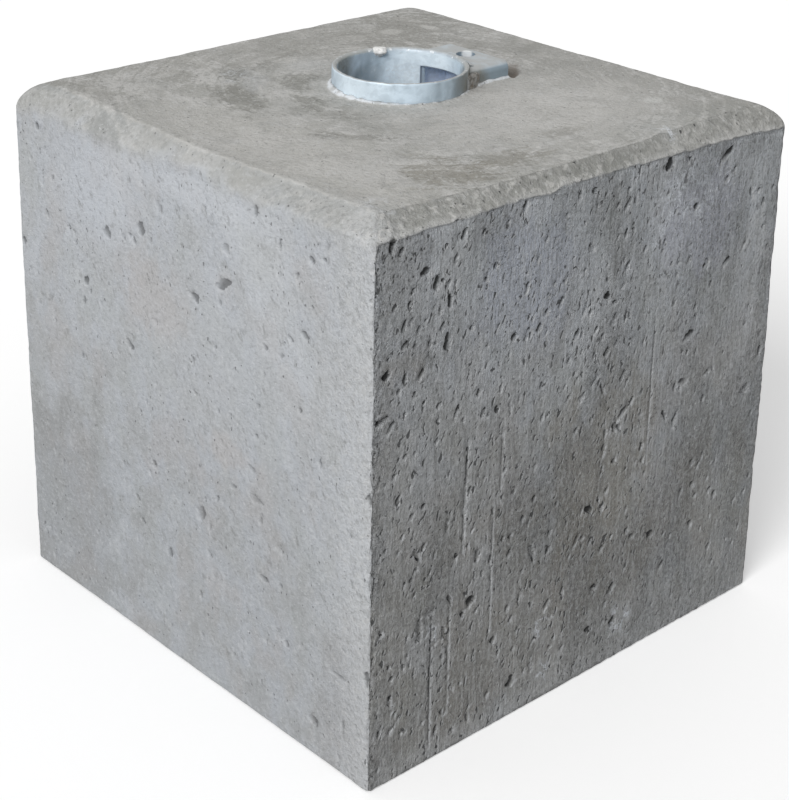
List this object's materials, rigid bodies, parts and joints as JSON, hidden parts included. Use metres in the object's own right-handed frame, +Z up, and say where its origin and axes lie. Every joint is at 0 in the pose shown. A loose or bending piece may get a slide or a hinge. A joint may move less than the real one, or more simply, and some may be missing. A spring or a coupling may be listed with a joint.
{
  "type": "concrete post base block",
  "caption": "Cast concrete cube with chamfered top edges and a galvanised ground sleeve for a removable post, with a welded latch pocket on one side.",
  "frame": {"origin": "centre of the block's underside", "axes": "+Z up, along the sleeve's axis; +Y towards the side of the sleeve that carries the latch pocket; the picture's dark, dragged face looks along +X and its smooth pale face along -Y"},
  "size_m": [0.3, 0.3, 0.312],
  "materials": {
    "concrete": "cast concrete, matt",
    "galvanised_steel": "hot-dip galvanised, dull",
    "weld": "galvanised over, dusty and stained brown"
  },
  "bodies": {
    "root": {"concrete_block": "concrete", "sleeve_tube": "galvanised_steel", "latch_pocket": "galvanised_steel", "pocket_end_plate": "galvanised_steel", "right_pocket_weld": "weld", "left_pocket_weld": "weld", "top_pocket_weld": "weld"}
  },
  "joints": []
}
